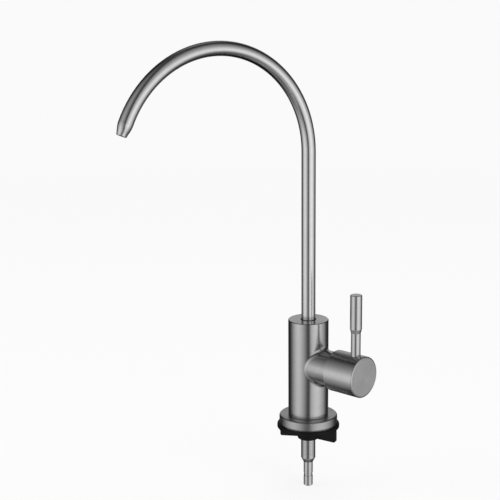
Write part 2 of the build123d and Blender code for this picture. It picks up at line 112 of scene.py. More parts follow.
class TapFinish(bpy.types.PropertyGroup):
    """Colours and finishes of the tap."""

    steel_colour: bpy.props.FloatVectorProperty(
        name="Steel", description="Colour of the brushed steel", subtype="COLOR",
        size=4, min=0.0, max=1.0, default=(0.60, 0.60, 0.605, 1.0))
    steel_roughness: bpy.props.FloatProperty(
        name="Steel roughness", description="How dull the brushed steel is", subtype="FACTOR",
        min=0.0, max=1.0, default=0.21)
    edge_wear: bpy.props.FloatProperty(
        name="Edge wear", description="How much the edges are rubbed bright", subtype="FACTOR",
        min=0.0, max=1.0, default=0.5)
    brush_depth: bpy.props.FloatProperty(
        name="Brush marks", description="How strongly the brush marks stand out", subtype="FACTOR",
        min=0.0, max=1.0, default=0.14)
    rubber_colour: bpy.props.FloatVectorProperty(
        name="Rubber", description="Colour of the gasket and seals", subtype="COLOR",
        size=4, min=0.0, max=1.0, default=(0.0045, 0.0045, 0.0045, 1.0))
    plastic_colour: bpy.props.FloatVectorProperty(
        name="Plastic", description="Colour of the wing nut and bush", subtype="COLOR",
        size=4, min=0.0, max=1.0, default=(0.0055, 0.0055, 0.0057, 1.0))
    brass_colour: bpy.props.FloatVectorProperty(
        name="Brass", description="Colour of the turned brass inside", subtype="COLOR",
        size=4, min=0.0, max=1.0, default=(0.72, 0.53, 0.24, 1.0))


class TapShape(bpy.types.PropertyGroup):
    """Sizes of the pieces that are modelled here."""

    thread_pitch: bpy.props.FloatProperty(
        name="Thread pitch", description="Rise of the shank's thread in one turn",
        subtype="DISTANCE", unit="LENGTH", default=1.0 * MM)
    thread_depth: bpy.props.FloatProperty(
        name="Thread depth", description="Depth of the shank's rolled thread",
        subtype="DISTANCE", unit="LENGTH", default=0.04 * MM)
    gasket_lip: bpy.props.FloatProperty(
        name="Gasket lip", description="Height of the sealing rings under the gasket",
        subtype="DISTANCE", unit="LENGTH", default=0.35 * MM)
    gasket_top_edge: bpy.props.FloatProperty(
        name="Gasket top edge", description="Radius of the gasket's upper rim",
        subtype="DISTANCE", unit="LENGTH", default=0.8 * MM)
    gasket_foot_edge: bpy.props.FloatProperty(
        name="Gasket foot edge", description="Radius of the gasket's lower rim",
        subtype="DISTANCE", unit="LENGTH", default=0.5 * MM)
    mould_edge: bpy.props.FloatProperty(
        name="Moulded edge", description="Radius of the wing nut's moulded edges",
        subtype="DISTANCE", unit="LENGTH", default=0.3 * MM)


class TapStage(bpy.types.PropertyGroup):
    """Camera, floor and light."""

    camera_place: bpy.props.FloatVectorProperty(
        name="Camera", description="Where the camera stands", subtype="XYZ", unit="LENGTH",
        default=(0.5353, -0.6391, 0.3147))
    camera_yaw: bpy.props.FloatProperty(
        name="Yaw", description="Turn of the camera to the left of straight ahead",
        subtype="ANGLE", unit="ROTATION", default=math.radians(42.632))
    camera_pitch: bpy.props.FloatProperty(
        name="Pitch", description="How far the camera looks down",
        subtype="ANGLE", unit="ROTATION", default=math.radians(12.815))
    camera_roll: bpy.props.FloatProperty(
        name="Roll", description="Tilt of the camera about its own line of sight",
        subtype="ANGLE", unit="ROTATION", default=math.radians(-0.517))
    camera_shift: bpy.props.FloatVectorProperty(
        name="Shift", description="Shift of the camera's frame, in widths of the picture", size=2,
        default=(-0.001, 0.001))
    focal_pixels: bpy.props.FloatProperty(
        name="Focal length", description="Focal length in pixels of the photograph's frame",
        default=1269.276)
    floor_gap: bpy.props.FloatProperty(
        name="Floor gap", description="Room between the inlet tail and the floor",
        subtype="DISTANCE", unit="LENGTH", default=0.3 * MM)
    background: bpy.props.FloatProperty(
        name="Background", description="Brightness of the pale background", default=0.955)


# Small helpers for pieces


def deselect_all():
    if bpy.context.object and bpy.context.object.mode != "OBJECT":
        bpy.ops.object.mode_set(mode="OBJECT")
    bpy.ops.object.select_all(action="DESELECT")


def start_piece(name):
    """Names the primitive that was just added and brings its place into its mesh."""
    piece = bpy.context.object
    piece.name = name
    piece.data.name = name
    bpy.ops.object.transform_apply(location=True, rotation=True, scale=True)
    return piece


def edit_mesh(piece):
    bpy.ops.object.mode_set(mode="EDIT")
    return bmesh.from_edit_mesh(piece.data)


def pick(mesh, kind, test):
    """Selects only the vertices, edges or faces that pass the test."""
    bpy.ops.mesh.select_all(action="DESELECT")
    bpy.context.tool_settings.mesh_select_mode = [kind == "verts", kind == "edges", kind == "faces"]
    for element in getattr(mesh, kind):
        element.select_set(test(element))
    mesh.select_flush_mode()


def away(point):
    """Distance of a point from the body's axis."""
    return math.hypot(point[0], point[1])


def edge_on_ring(edge, radius, height, near=0.04 * MM):
    return all(abs(away(v.co) - radius) < near and abs(v.co.z - height) < near for v in edge.verts)


def finish_piece(piece, body, replaced, material, smooth=math.radians(35)):
    """Smooths a piece, gives it its finish and lets it ride on its body."""
    if piece.mode != "OBJECT":
        bpy.ops.object.mode_set(mode="OBJECT")
    deselect_all()
    piece.select_set(True)
    bpy.context.view_layer.objects.active = piece
    bpy.ops.object.shade_smooth_by_angle(angle=smooth)
    piece.data.materials.clear()
    piece.data.materials.append(material)
    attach(piece, body)
    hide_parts(replaced)
    deselect_all()
    return piece


# Nodes for the finishes


class Finish:
    """A material that is built up node by node."""

    def __init__(self, name):
        self.material = bpy.data.materials.new(name)
        self.material.use_nodes = True
        self.tree = self.material.node_tree
        self.shader = self.tree.nodes["Principled BSDF"]
        self.column = 0

    def node(self, kind, **inputs):
        added = self.tree.nodes.new(kind)
        self.column -= 1
        added.location = (self.column * 40, (self.column % 5) * 160)
        for key, value in inputs.items():
            self.put(added, key, value)
        return added

    def put(self, node, key, value):
        """Sets or links an input, which is named or numbered as _0, _1 and so on."""
        socket = node.inputs[int(key[1:])] if key[0] == "_" else node.inputs[key.replace("_", " ")]
        if isinstance(value, bpy.types.NodeSocket):
            self.tree.links.new(value, socket)
        else:
            socket.default_value = value

    def maths(self, operation, first, second=0.0):
        added = self.node("ShaderNodeMath", _0=first, _1=second)
        added.operation = operation
        return added.outputs[0]

    def vector(self, operation, first, second=None):
        added = self.node("ShaderNodeVectorMath", _0=first)
        added.operation = operation
        if second is not None:
            self.put(added, "Scale" if operation == "SCALE" else "_1", second)
        return added.outputs["Value" if operation in ("LENGTH", "DOT_PRODUCT") else "Vector"]

    def split(self, vector):
        return self.node("ShaderNodeSeparateXYZ", _0=vector).outputs

    def join(self, x=0.0, y=0.0, z=0.0):
        return self.node("ShaderNodeCombineXYZ", X=x, Y=y, Z=z).outputs[0]

    def noise(self, vector, scale, detail=2.0, rough=0.5):
        return self.node("ShaderNodeTexNoise", Vector=vector, Scale=scale, Detail=detail,
                         Roughness=rough).outputs[0]

    def spread(self, value, low, high, source=(0.3, 0.7)):
        return self.node("ShaderNodeMapRange", Value=value, From_Min=source[0], From_Max=source[1],
                         To_Min=low, To_Max=high).outputs[0]

    def blend(self, factor, first, second, kind="RGBA"):
        """Mixes two colours, numbers or vectors, which may be linked or plain."""
        mixed = self.node("ShaderNodeMix")
        mixed.data_type = kind
        start, end, result = {"FLOAT": (2, 3, 0), "VECTOR": (4, 5, 1), "RGBA": (6, 7, 2)}[kind]
        for place, value in ((0, factor), (start, first), (end, second)):
            self.put(mixed, f"_{place}", value)
        return mixed.outputs[result]

    def bump(self, height, strength, distance):
        return self.node("ShaderNodeBump", Height=height, Strength=strength,
                         Distance=distance).outputs[0]


def shade(colour, share):
    return tuple(channel * share for channel in colour[:3]) + (1.0,)


def place_on_piece(finish):
    return finish.node("ShaderNodeTexCoord").outputs["Object"]


def turned_place(finish, axis, centre):
    """A place on a turned piece, with Z along its axis."""
    mapping = finish.node("ShaderNodeMapping", Vector=place_on_piece(finish))
    if axis == ALONG_ARM:
        mapping.inputs["Rotation"].default_value = (0.0, math.radians(-90), 0.0)
        mapping.inputs["Location"].default_value = (centre[2], -centre[1], -centre[0])
    else:
        mapping.inputs["Location"].default_value = tuple(-c for c in centre)
    return mapping.outputs[0]


def turned_marks(finish, place, scale, wrap):
    """Marks that run round a turned piece: fine along its axis, long around it."""
    parts = finish.split(place)
    across = finish.join(parts[0], parts[1])
    radius = finish.vector("LENGTH", across)
    around = finish.vector("SCALE", finish.vector("NORMALIZE", across), wrap)
    along = finish.maths("MULTIPLY", finish.maths("SUBTRACT", parts[2], radius), scale)
    return finish.vector("ADD", around, finish.join(z=along))


def to_world(finish, direction):
    turned = finish.node("ShaderNodeVectorTransform", _0=direction)
    turned.vector_type = "VECTOR"
    turned.convert_from = "OBJECT"
    turned.convert_to = "WORLD"
    return turned.outputs[0]


def turned_tangent(finish, axis, centre):
    """The direction across the brush marks of a turned piece, which run round its axis."""
    line = (1.0, 0.0, 0.0) if axis == ALONG_ARM else (0.0, 0.0, 1.0)
    from_centre = finish.vector("SUBTRACT", place_on_piece(finish), centre)
    round_axis = to_world(finish, finish.vector("CROSS_PRODUCT", line, from_centre))
    outward = finish.node("ShaderNodeNewGeometry").outputs["Normal"]
    return finish.vector("NORMALIZE", finish.vector("CROSS_PRODUCT", outward, round_axis))


def bend_place(finish):
    """A place on the spout tube: sideways, out from the bend's centre, and up past the leg."""
    mapping = finish.node("ShaderNodeMapping", Vector=place_on_piece(finish))
    mapping.inputs["Rotation"].default_value = (0.0, 0.0, -SPOUT_TURN)
    parts = finish.split(mapping.outputs[0])
    return (parts[0], finish.maths("ADD", parts[1], BEND_RADIUS),
            finish.maths("SUBTRACT", parts[2], LEG_HEIGHT))


def bend_tangent(finish):
    """The direction along the spout tube, which lies across its brush marks."""
    side, out, up = bend_place(finish)
    above = finish.maths("MAXIMUM", up, 0.0)
    along = finish.join(0.0, finish.maths("MULTIPLY", above, -1.0), out)
    turned = finish.node("ShaderNodeVectorRotate", Vector=along, Angle=SPOUT_TURN)
    turned.rotation_type = "Z_AXIS"
    return finish.vector("NORMALIZE", to_world(finish, turned.outputs[0]))


def bend_marks(finish, scale, wrap):
    """Marks that run round the spout tube and follow its bend."""
    side_place, out, up = bend_place(finish)
    above = finish.maths("MAXIMUM", up, 0.0)
    below = finish.maths("MINIMUM", up, 0.0)
    reach = finish.vector("LENGTH", finish.join(out, above))
    side = finish.maths("SUBTRACT", reach, BEND_RADIUS)
    turn = finish.maths("ARCTAN2", above, out)
    along = finish.maths("ADD", finish.maths("MULTIPLY", turn, BEND_RADIUS), below)
    around = finish.vector("SCALE", finish.vector("NORMALIZE", finish.join(side_place, side)), wrap)
    return finish.vector("ADD", around, finish.join(z=finish.maths("MULTIPLY", along, scale)))


def on_arm(finish):
    """One on the side arm and nothing on the upright barrel."""
    return finish.spread(finish.split(place_on_piece(finish))[0], 0.0, 1.0, (ARM_START, ARM_CLEAR))


def worn_edges(finish, width):
    """One on a sharp edge, falling to nothing on plain faces, and patchy along the edge."""
    softened = finish.node("ShaderNodeBevel", Radius=width)
    softened.samples = 6
    plain = finish.node("ShaderNodeNewGeometry").outputs["Normal"]
    match = finish.vector("DOT_PRODUCT", softened.outputs[0], plain)
    patchy = finish.spread(finish.noise(place_on_piece(finish), 260.0, 3.0, 0.6), 0.3, 1.0)
    return finish.maths("MULTIPLY", finish.spread(match, 1.0, 0.0, (0.90, 0.995)), patchy)


def brush_marks(finish, axis, centre, bent=False):
    """Fine and broad brush marks, which run round a turned piece or round the bent spout."""
    if bent:
        fine = bend_marks(finish, *FINE_BRUSH)
        broad = bend_marks(finish, *BROAD_BRUSH)
    else:
        place = turned_place(finish, axis, centre)
        fine = turned_marks(finish, place, *FINE_BRUSH)
        broad = turned_marks(finish, place, *BROAD_BRUSH)
    return finish.noise(fine, 1.0, 4.0, 0.65), finish.noise(broad, 1.0, 3.0, 0.55)


# Finishes


def brushed_steel(name, axis=UPRIGHT, centre=BODY_AXIS, painted_light_tone=1.0, dull=0.0, bent=False, arm=False):
    """Satin stainless steel with fine marks, a little uneven in shade and gloss. Its tone scales the whole
    piece's colour as painted light and shade, so one steel comes in lighter and darker copies.
    """
    look = bpy.context.scene.tap_finish
    finish = Finish(name)
    fine, broad = brush_marks(finish, axis, centre, bent)
    tangent = bend_tangent(finish) if bent else turned_tangent(finish, axis, centre)
    if arm:
        # the marks turn to run round the arm where it leaves the barrel
        share = on_arm(finish)
        arm_fine, arm_broad = brush_marks(finish, ALONG_ARM, ARM_AXIS)
        fine = finish.blend(share, fine, arm_fine, "FLOAT")
        broad = finish.blend(share, broad, arm_broad, "FLOAT")
        tangent = finish.vector("NORMALIZE", finish.blend(
            share, tangent, turned_tangent(finish, ALONG_ARM, ARM_AXIS), "VECTOR"))
    patches = finish.noise(place_on_piece(finish), 90.0, 3.0, 0.6)
    marks = finish.maths("ADD", finish.maths("MULTIPLY", fine, 0.65),
                         finish.maths("MULTIPLY", broad, 0.35))
    # the tone lightens or darkens the whole piece: painted light and shade, not a different steel
    colour = finish.blend(finish.spread(marks, 0.0, 1.0), shade(look.steel_colour, 0.91 * painted_light_tone),
                         shade(look.steel_colour, 1.06 * painted_light_tone))
    wear = finish.maths("ADD", finish.spread(marks, -0.02, 0.02), finish.spread(patches, -0.015, 0.015))
    roughness = finish.maths("ADD", wear, look.steel_roughness + dull)
    worn = finish.maths("MULTIPLY", worn_edges(finish, STEEL_WEAR_WIDTH), look.edge_wear)
    colour = finish.blend(worn, colour, shade(look.steel_colour, 1.25 * painted_light_tone))
    roughness = finish.maths("SUBTRACT", roughness, finish.maths("MULTIPLY", worn, 0.06))
    shader = finish.shader
    shader.inputs["Metallic"].default_value = 1.0
    finish.put(shader, "Base Color", colour)
    finish.put(shader, "Roughness", roughness)
    shader.inputs["Anisotropic"].default_value = 0.6
    finish.put(shader, "Tangent", tangent)
    finish.put(shader, "Normal", finish.bump(marks, look.brush_depth, BRUSH_HEIGHT))
    return finish.material


def turned_brass(name):
    look = bpy.context.scene.tap_finish
    finish = Finish(name)
    rings = finish.noise(turned_marks(finish, turned_place(finish, ALONG_ARM, ARM_AXIS),
                                      1900.0, 1.6), 1.0, 3.0)
    finish.shader.inputs["Metallic"].default_value = 1.0
    finish.put(finish.shader, "Base Color", finish.blend(finish.spread(rings, 0.0, 1.0),
               shade(look.brass_colour, 0.82), shade(look.brass_colour, 1.04)))
    finish.put(finish.shader, "Roughness", finish.spread(rings, 0.24, 0.36))
    finish.put(finish.shader, "Normal", finish.bump(rings, 0.2, 0.04 * MM))
    return finish.material


def black_rubber(name):
    """Moulded rubber: dull and close to black, with fine pits and a dusty bloom."""
    look = bpy.context.scene.tap_finish
    finish = Finish(name)
    place = place_on_piece(finish)
    pits = finish.noise(place, 2400.0, 4.0, 0.7)
    bloom = finish.noise(place, 120.0, 4.0, 0.6)
    colour = finish.blend(finish.spread(bloom, 0.0, 1.0), shade(look.rubber_colour, 0.75),
                         shade(look.rubber_colour, 1.7))
    worn = finish.maths("MULTIPLY", worn_edges(finish, RUBBER_WEAR_WIDTH), look.edge_wear)
    finish.put(finish.shader, "Base Color", finish.blend(worn, colour, shade(look.rubber_colour, 3.0)))
    finish.put(finish.shader, "Roughness", finish.spread(bloom, 0.48, 0.62))
    finish.put(finish.shader, "Normal", finish.bump(pits, 0.25, 0.05 * MM))
    finish.shader.inputs["Specular IOR Level"].default_value = 0.2
    return finish.material


def black_plastic(name):
    """Moulded nylon with an etched texture and faint flow lines."""
    look = bpy.context.scene.tap_finish
    finish = Finish(name)
    place = place_on_piece(finish)
    etch = finish.noise(place, 3200.0, 3.0, 0.6)
    flow = finish.noise(finish.vector("MULTIPLY", place, (1.0, 1.0, 3.0)), 150.0, 4.0, 0.55)
    colour = finish.blend(finish.spread(flow, 0.0, 1.0), shade(look.plastic_colour, 0.8),
                         shade(look.plastic_colour, 1.4))
    worn = finish.maths("MULTIPLY", worn_edges(finish, PLASTIC_WEAR_WIDTH), look.edge_wear)
    finish.put(finish.shader, "Base Color", finish.blend(worn, colour, shade(look.plastic_colour, 3.0)))
    finish.put(finish.shader, "Roughness", finish.spread(flow, 0.34, 0.46))
    finish.put(finish.shader, "Normal", finish.bump(etch, 0.3, 0.04 * MM))
    finish.shader.inputs["Specular IOR Level"].default_value = 0.25
    return finish.material


def pale_material(name, colour, roughness):
    """Acetal and ceramic: pale, smooth and a little mottled."""
    finish = Finish(name)
    mottle = finish.noise(place_on_piece(finish), 420.0, 4.0, 0.55)
    finish.put(finish.shader, "Base Color", finish.blend(finish.spread(mottle, 0.0, 1.0),
               shade(colour, 0.93), shade(colour, 1.0)))
    finish.put(finish.shader, "Roughness", finish.spread(mottle, roughness - 0.04, roughness + 0.04))
    return finish.material


def pressed_fibre(name):
    finish = Finish(name)
    fibres = finish.noise(place_on_piece(finish), 900.0, 6.0, 0.75)
    finish.put(finish.shader, "Base Color", finish.blend(finish.spread(fibres, 0.0, 1.0),
               (0.20, 0.055, 0.035, 1.0), (0.42, 0.14, 0.09, 1.0)))
    finish.put(finish.shader, "Roughness", finish.spread(fibres, 0.7, 0.85))
    finish.put(finish.shader, "Normal", finish.bump(fibres, 0.4, 0.08 * MM))
    return finish.material


# Pieces


class TAP_OT_base_gasket(bpy.types.Operator):
    """Rubber gasket with rounded rims and sealing rings below"""

    bl_idname = "tap.base_gasket"
    bl_label = "Base Gasket"

    def execute(self, context):
        low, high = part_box("base_gasket")
        shape = context.scene.tap_shape
        outer = high.x
        deselect_all()
        bpy.ops.mesh.primitive_cylinder_add(vertices=144, radius=outer, depth=high.z - low.z,
                                            end_fill_type="NGON", location=(0, 0, (low.z + high.z) / 2))
        gasket = start_piece("base_gasket_moulded")
        mesh = edit_mesh(gasket)
        # the rings run inward from the rim to the hole, above and below
        pick(mesh, "faces", lambda f: abs(f.normal.z) > 0.9)
        for width in GASKET_RINGS:
            bpy.ops.mesh.inset(thickness=width * MM, use_even_offset=True)
        rings_used = sum(GASKET_RINGS) * MM
        bpy.ops.mesh.inset(thickness=outer - GASKET_HOLE_RADIUS - rings_used, use_even_offset=True)
        bpy.ops.mesh.delete(type="FACE")
        mesh = bmesh.from_edit_mesh(gasket.data)
        pick(mesh, "edges", lambda e: edge_on_ring(e, GASKET_HOLE_RADIUS, low.z)
             or edge_on_ring(e, GASKET_HOLE_RADIUS, high.z))
        bpy.ops.mesh.bridge_edge_loops()
        # grooves between the sealing rings on the underside
        for ring in GASKET_GROOVES:
            start = outer - sum(GASKET_RINGS[:ring]) * MM
            end = start - GASKET_RINGS[ring] * MM
            mesh = bmesh.from_edit_mesh(gasket.data)
            pick(mesh, "faces", lambda f: f.normal.z < -0.9 and end - 0.1 * MM
                 < away(f.calc_center_median()) < start + 0.1 * MM)
            bpy.ops.transform.translate(value=(0, 0, shape.gasket_lip))
        for height, round_off in ((high.z, shape.gasket_top_edge), (low.z, shape.gasket_foot_edge)):
            mesh = bmesh.from_edit_mesh(gasket.data)
            pick(mesh, "edges", lambda e: edge_on_ring(e, outer, height))
            bpy.ops.mesh.bevel(offset=round_off, segments=5, affect="EDGES")
        finish_piece(gasket, "base", "base_gasket", black_rubber("Moulded rubber"))
        return {"FINISHED"}


class TAP_OT_wing_nut(bpy.types.Operator):
    """Moulded wing nut with softened edges"""

    bl_idname = "tap.wing_nut"
    bl_label = "Wing Nut"

    def execute(self, context):
        shape = context.scene.tap_shape
        deselect_all()
        source = frame["nodes"]["wing_nut"]
        nut = source.copy()
        nut.data = source.data.copy()
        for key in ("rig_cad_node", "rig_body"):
            if key in nut:
                del nut[key]
        nut.parent = None
        nut.name = "wing_nut_moulded"
        context.scene.collection.objects.link(nut)
        context.view_layer.objects.active = nut
        nut.select_set(True)
        bpy.ops.object.mode_set(mode="EDIT")
        bpy.ops.mesh.select_all(action="SELECT")
        bpy.ops.mesh.remove_doubles(threshold=0.001 * MM)
        bpy.ops.mesh.dissolve_limited(angle_limit=math.radians(0.5))
        bpy.ops.object.mode_set(mode="OBJECT")
        soft = nut.modifiers.new("Moulded edges", "BEVEL")
        soft.width = shape.mould_edge
        soft.segments = 3
        soft.limit_method = "ANGLE"
        soft.angle_limit = math.radians(32)
        bpy.ops.object.modifier_apply(modifier=soft.name)
        finish_piece(nut, "nut", "wing_nut", black_plastic("Moulded nylon"),
                     smooth=math.radians(28))
        return {"FINISHED"}


class TAP_OT_shank_thread(bpy.types.Operator):
    """Shank with a shallow rolled thread that runs out into its cone"""

    bl_idname = "tap.shank_thread"
    bl_label = "Threaded Shank"

    def execute(self, context):
        shape = context.scene.tap_shape
        low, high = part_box("threaded_shank")
        radius = high.x
        cone_top = low.z + SHANK_CONE_HEIGHT
        rings = round((high.z - cone_top) / shape.thread_pitch * THREAD_RINGS_PER_TURN)
        deselect_all()
        bpy.ops.mesh.primitive_cylinder_add(vertices=SHANK_SIDES, radius=radius, depth=high.z - cone_top,
                                            end_fill_type="NGON", location=(0, 0, (cone_top + high.z) / 2))
        shank = start_piece("shank_rolled_thread")
        mesh = edit_mesh(shank)
        pick(mesh, "edges", lambda e: abs(e.verts[0].co.z - e.verts[1].co.z) > MM)
        bpy.ops.mesh.subdivide_edgering(number_cuts=rings - 1, interpolation="LINEAR")
        mesh = bmesh.from_edit_mesh(shank.data)
        for vertex in mesh.verts:
            if abs(away(vertex.co) - radius) > 0.1 * MM:
                continue
            turn = math.atan2(vertex.co.y, vertex.co.x) / math.tau
            wave = 0.5 - 0.5 * math.cos(math.tau * (vertex.co.z / shape.thread_pitch - turn))
            ends = min(vertex.co.z - cone_top, high.z - vertex.co.z) / THREAD_RUN_OUT
            share = 1 - shape.thread_depth / radius * wave * min(max(ends, 0.0), 1.0)
            vertex.co.x *= share
            vertex.co.y *= share
        bmesh.update_edit_mesh(shank.data)
        # the cone, its flat foot and the bore that the inlet tail stands in
        mesh = bmesh.from_edit_mesh(shank.data)
        pick(mesh, "faces", lambda f: f.normal.z < -0.9)
        bpy.ops.mesh.extrude_region_move(TRANSFORM_OT_translate={"value": (0, 0, low.z - cone_top)})
        taper = SHANK_FOOT_RADIUS / radius
        bpy.ops.transform.resize(value=(taper, taper, 1))
        bpy.ops.mesh.inset(thickness=SHANK_FOOT_RADIUS - SHANK_SOCKET_RADIUS)
        bpy.ops.mesh.extrude_region_move(TRANSFORM_OT_translate={"value": (0, 0, SHANK_SOCKET_DEPTH)})
        bpy.ops.mesh.inset(thickness=SHANK_SOCKET_RADIUS - SHANK_BORE_RADIUS)
        mesh = bmesh.from_edit_mesh(shank.data)
        pick(mesh, "faces", lambda f: f.normal.z > 0.9 and f.calc_center_median().z > high.z - 0.1 * MM)
        bpy.ops.mesh.inset(thickness=radius - SHANK_BORE_RADIUS)
        # the bore joins the shank's top to the end of the socket
        mesh = bmesh.from_edit_mesh(shank.data)
        socket_end = low.z + SHANK_SOCKET_DEPTH
        pick(mesh, "faces", lambda f: len(f.verts) == SHANK_SIDES and away(f.calc_center_median()) < 0.01 * MM
             and (abs(f.calc_center_median().z - high.z) < 0.01 * MM
                  or abs(f.calc_center_median().z - socket_end) < 0.01 * MM))
        bpy.ops.mesh.bridge_edge_loops()
        finish_piece(shank, "base", "threaded_shank",
                     brushed_steel("Shank steel", dull=-0.03), smooth=math.radians(40))
        return {"FINISHED"}


# Steel solids: node, material, axis and centre of its brush marks, tone (painted light and shade that makes
# the one steel lighter or darker on each piece), and extra roughness
STEEL_NODES = (
    ("tap_body", "Body steel", UPRIGHT, BODY_AXIS, 1.0, 0.0),
    ("base_flange", "Flange steel", UPRIGHT, BODY_AXIS, 0.98, 0.13),
    ("inlet_tail", "Tail steel", UPRIGHT, BODY_AXIS, 1.25, 0.0),
    ("slip_washer", "Washer steel", UPRIGHT, BODY_AXIS, 1.0, 0.0),
    ("spout_grub_screw", "Screw steel", UPRIGHT, BODY_AXIS, 0.9, 0.0),
    ("handle_hub", "Hub steel", ALONG_ARM, ARM_AXIS, 1.12, 0.04),
    ("hub_end_cap", "Cap steel", ALONG_ARM, ARM_AXIS, 1.42, 0.0),
    ("hub_screw", "Hub screw steel", ALONG_ARM, ARM_AXIS, 1.0, 0.0),
    ("spindle_clip", "Clip steel", ALONG_ARM, ARM_AXIS, 1.0, 0.0),
    ("handle_lever", "Lever steel", UPRIGHT, (LEVER_REACH, 0.0, 0.0), 1.12, 0.0),
)


class TAP_OT_finishes(bpy.types.Operator):
    """Gives each solid that shows as it is its own finish"""

    bl_idname = "tap.finishes"
    bl_label = "Finishes"

    def execute(self, context):
        for node, name, axis, centre, painted_light_tone, dull in STEEL_NODES:
            self.give(node, brushed_steel(name, axis, centre, painted_light_tone, dull, arm=node == "tap_body"))
        # the spout's tone paints its steel lighter: painted light, like the tones in the table above
        self.give("spout_tube", brushed_steel("Spout steel", painted_light_tone=1.29, bent=True))
        brass = turned_brass("Turned brass")
        for node in ("spout_foot", "cartridge_housing", "spindle"):
            self.give(node, brass)
        rubber = black_rubber("Seal rubber")
        for node in ("spout_oring_lower", "spout_oring_upper", "seat_seal", "housing_oring",
                     "spindle_oring_inner", "spindle_oring_outer"):
            self.give(node, rubber)
        self.give("spout_bush", black_plastic("Bush nylon"))
        ceramic = pale_material("Lapped ceramic", (0.86, 0.85, 0.82), 0.22)
        for node in ("fixed_disc", "moving_disc"):
            self.give(node, ceramic)
        self.give("hub_glide_ring", pale_material("White acetal", (0.82, 0.82, 0.80), 0.38))
        self.give("shank_seal", pressed_fibre("Pressed fibre"))
        return {"FINISHED"}

    def give(self, node, material):
        materials = frame["nodes"][node].data.materials
        for number in range(len(materials)):
            materials[number] = material
        if not len(materials):
            materials.append(material)


# Camera, floor and light


def set_ramp(ramp, stops):
    """Puts grey stops on a colour ramp, from pairs of place and brightness."""
    elements = ramp.color_ramp.elements
    ramp.color_ramp.interpolation = "LINEAR"
    while len(elements) > 1:
        elements.remove(elements[-1])
    elements[0].position = stops[0][0]
    elements[0].color = (stops[0][1],) * 3 + (1.0,)
    for place, value in stops[1:]:
        elements.new(place).color = (value,) * 3 + (1.0,)


# The dome's light, by compass angle from the camera's side
SIDE_PANELS = (
    (-180, 0.02), (-128, 0.02), (-110, 0.15), (-90, 0.46), (-70, 0.74), (-56, 0.80), (-42, 0.68),
    (-24, 0.42), (-10, 0.16), (0, 0.03), (7, 0.20), (16, 0.62), (34, 0.82), (50, 0.92), (66, 0.82),
    (84, 0.58), (102, 0.34), (120, 0.05), (146, 0.02), (180, 0.02))
# How that light rises and falls with the angle above or below level
PANEL_HEIGHTS = (
    (-90, 0.40), (-66, 0.30), (-54, 0.16), (-44, 0.26), (-30, 0.66), (-19, 1.04), (-8, 1.16),
    (4, 1.14), (18, 0.78), (34, 0.50), (52, 0.36), (64, 0.20), (90, 0.0))
# Light from overhead, the same all round
OVERHEAD = ((-90, 0.0), (84, 0.0), (90, 0.2))
# Further panels: middle and half width round the compass, middle and half height, brightness
MORE_PANELS = (
    (180, 60, 64, 18, 0.24), (180, 34, -5, 34, 0.50), (180, 36, 27, 26, 0.30),
    (180, 40, 18, 14, 0.15), (-104, 34, -40, 18, 0.20), (0, 60, -48, 14, 0.45))
DOME_RADIUS = 3.0
WORLD_FILL = 0.55

# The floor's glow takes over from its lit surface with distance, so that no horizon shows
FLOOR_SIZE = 12.0
FLOOR_FADE = (0.4, 1.6)
FLOOR_GLOW_NEAR = 1.035
FLOOR_GLOW_SHARE = 0.86

# Lamps: name, place, size and power
LAMPS = (("lamp_left", (-0.9, -1.2, 1.0), 1.0, 11.0), ("lamp_right", (1.3, -0.2, 1.1), 1.0, 9.0),
         ("lamp_top", (0.0, 0.3, 1.8), 1.2, 10.0))
LAMP_AIM = Vector((0.0, 0.0, 0.08))


